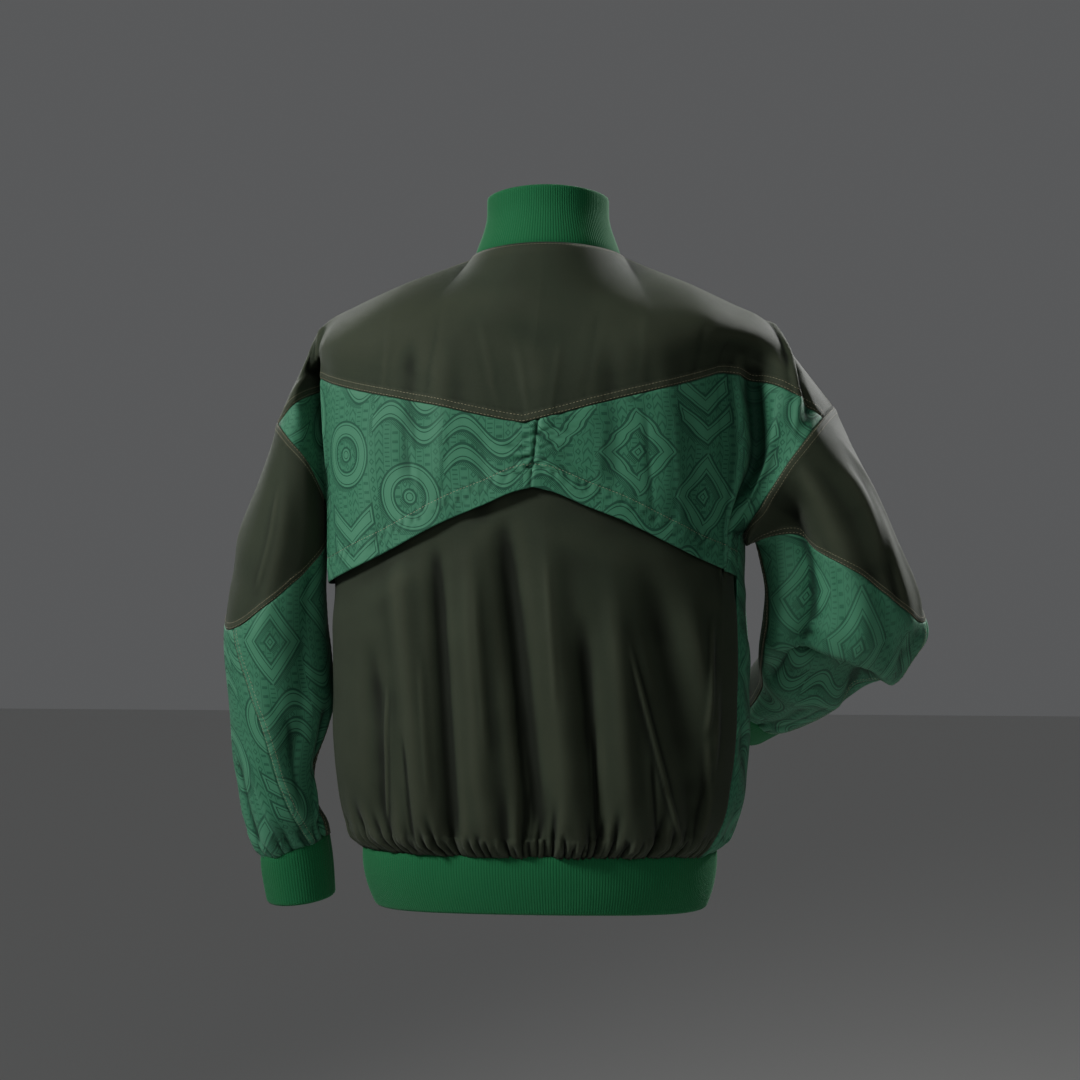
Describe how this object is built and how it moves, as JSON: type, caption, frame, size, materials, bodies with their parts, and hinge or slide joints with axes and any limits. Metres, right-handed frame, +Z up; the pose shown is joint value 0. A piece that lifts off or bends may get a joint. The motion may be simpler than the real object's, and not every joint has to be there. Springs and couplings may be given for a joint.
{
  "type": "windbreaker",
  "caption": "Hip-length windbreaker with rib stand collar, hem and cuffs, drop-shoulder sleeves, a printed storm flap across the back and a front zip, in its worn pose.",
  "frame": {"origin": "centre of the seam between collar and body, where the wearer's neck and shoulders hold the garment", "axes": "+Z up along the wearer, -Y out of the garment's front, +X to the wearer's left"},
  "size_m": [0.7468, 0.4082, 0.7614],
  "materials": {
    "dark_woven": "crisp woven, slight sheen",
    "green_print": "woven, tonal print",
    "green_rib": "fine rib knit, matte",
    "zip_tape": "matte",
    "zip_metal": "satin"
  },
  "bodies": {
    "jacket": {"back_flap": "green_print", "back_yoke": "dark_woven", "collar": "green_rib", "cuff_left": "green_rib", "cuff_right": "green_rib", "front_left": "green_print", "front_right": "green_print", "front_yoke_left": "dark_woven", "front_yoke_right": "dark_woven", "hem_rib": "green_rib", "lower_back": "dark_woven", "lower_sleeve_inner_left": "green_print", "lower_sleeve_inner_right": "green_print", "lower_sleeve_outer_left": "green_print", "lower_sleeve_outer_right": "green_print", "sleeve_panel_left": "dark_woven", "sleeve_panel_right": "dark_woven", "upper_sleeve_left": "dark_woven", "upper_sleeve_right": "dark_woven", "zip_slider": "zip_metal", "zip_tape_left": "zip_tape", "zip_tape_right": "zip_tape"},
    "pull": {"zip_pull": "zip_metal"}
  },
  "joints": [
    {"name": "zip_pull_hinge", "type": "hinge", "parent": "jacket", "child": "pull", "pos_m": [0, -0.07826, -0.00707], "axis": [-1, 0, 0], "range_deg": [0, 150]}
  ]
}
